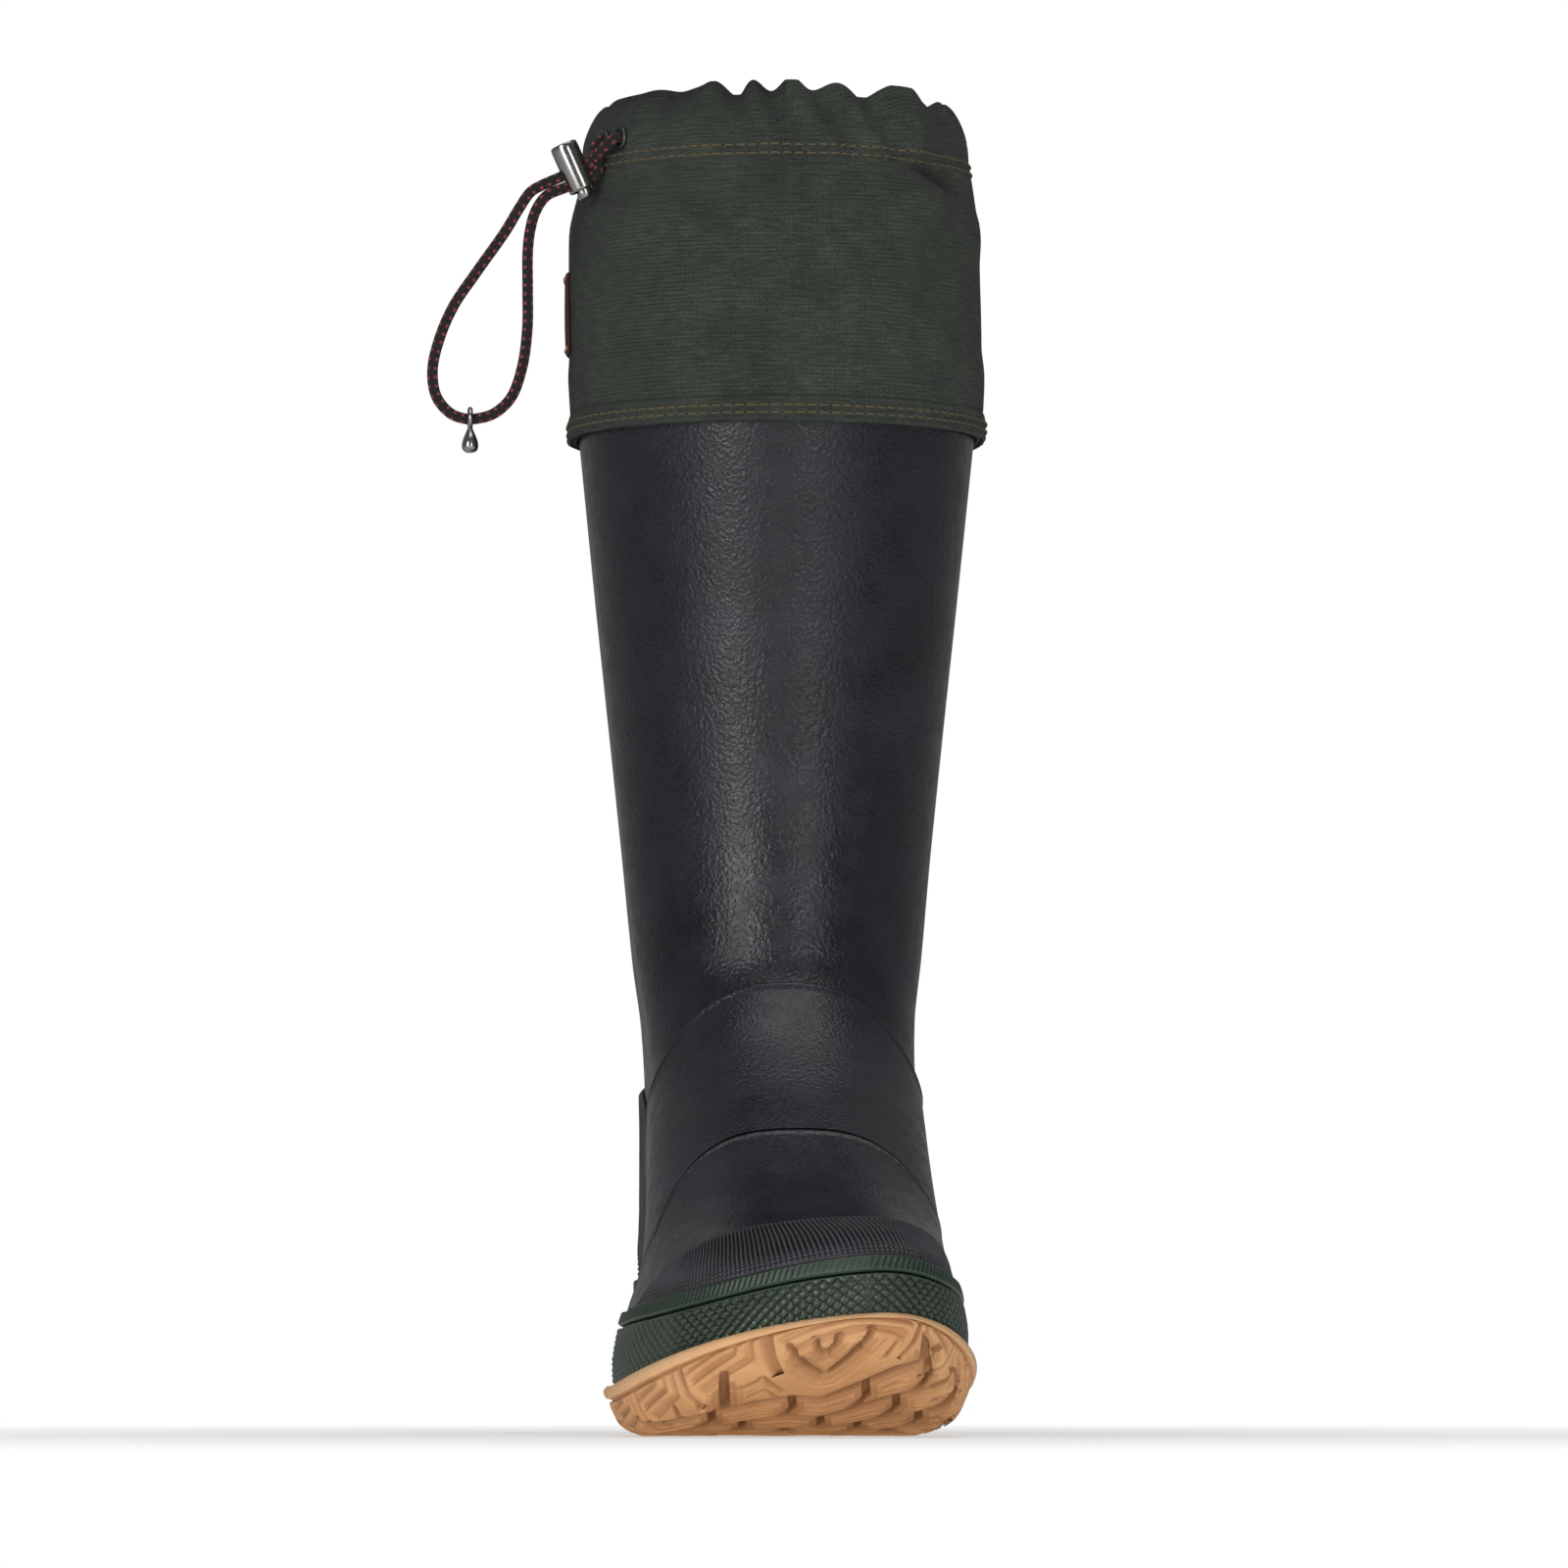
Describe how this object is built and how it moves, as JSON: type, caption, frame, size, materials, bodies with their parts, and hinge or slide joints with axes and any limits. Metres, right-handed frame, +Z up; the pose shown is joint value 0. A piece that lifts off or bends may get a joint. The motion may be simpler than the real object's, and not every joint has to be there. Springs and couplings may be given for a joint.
{
  "type": "insulated rubber hunting boot",
  "caption": "Tall insulated rubber hunting boot for the right foot, with lugged gum sole, scaled foxing and a drawcord canvas cuff with a cord lock.",
  "frame": {"origin": "on the ground under the middle of the boot, measured without the loop of cord and what is on it", "axes": "+Z up the leg, toe towards -Y, inner (medial) side of this right boot towards +X"},
  "size_m": [0.1822, 0.3052, 0.4305],
  "materials": {
    "gum": "moulded tan gum rubber, matt",
    "green_rubber": "dark green moulded rubber, satin, scale and rib relief",
    "black_rubber": "black rubber with a fine pebble grain, satin",
    "knurled_rubber": "black rubber with fine raised ribs, matt",
    "canvas": "dark green waxed canvas, coarse cross rib",
    "foam": "closed-cell foam",
    "steel": "plain steel",
    "board": "pressed fibre board",
    "neoprene": "foamed neoprene",
    "jersey": "brushed jersey knit",
    "felt": "needled felt",
    "patch": "dark red woven patch, unmarked",
    "cord": "braided elastic cord, black with dark red flecks",
    "nickel": "nickel-plated metal, polished"
  },
  "bodies": {
    "boot": {"outsole": "gum", "midsole": "foam", "shank": "steel", "insole_board": "board", "rubber_upper": "black_rubber", "insulation_bootie": "neoprene", "jersey_lining": "jersey", "footbed": "felt", "foxing_band": "green_rubber", "foxing_trim": "green_rubber", "toe_cap_overlay": "knurled_rubber", "vamp_overlay": "black_rubber", "ankle_overlay": "black_rubber", "heel_overlay": "knurled_rubber", "canvas_cuff": "canvas", "cuff_hem": "canvas", "side_patch": "patch", "cuff_casing": "canvas", "eyelet_front": "nickel", "eyelet_rear": "nickel", "drawcord_run": "cord", "drawcord_loop": "cord"},
    "cord_lock": {"lock_barrel": "nickel", "lock_spring": "steel"},
    "plunger": {"lock_plunger": "nickel"},
    "pull": {"cord_pull": "nickel"}
  },
  "joints": [
    {"name": "lock_slide", "type": "slide", "parent": "boot", "child": "cord_lock", "axis": [-0.9135, 0, -0.4067], "range_m": [0, 0.007]},
    {"name": "plunger_press", "type": "slide", "parent": "cord_lock", "child": "plunger", "axis": [-0.4067, 0, 0.9135], "range_m": [0, 0.0025], "stiffness_N_per_m": 900, "deforming": ["lock_spring"]},
    {"name": "pull_swing", "type": "hinge", "parent": "boot", "child": "pull", "pos_m": [-0.1002, 0.04125, 0.3251], "axis": [1, 0, 0], "range_deg": [-60, 60]}
  ]
}
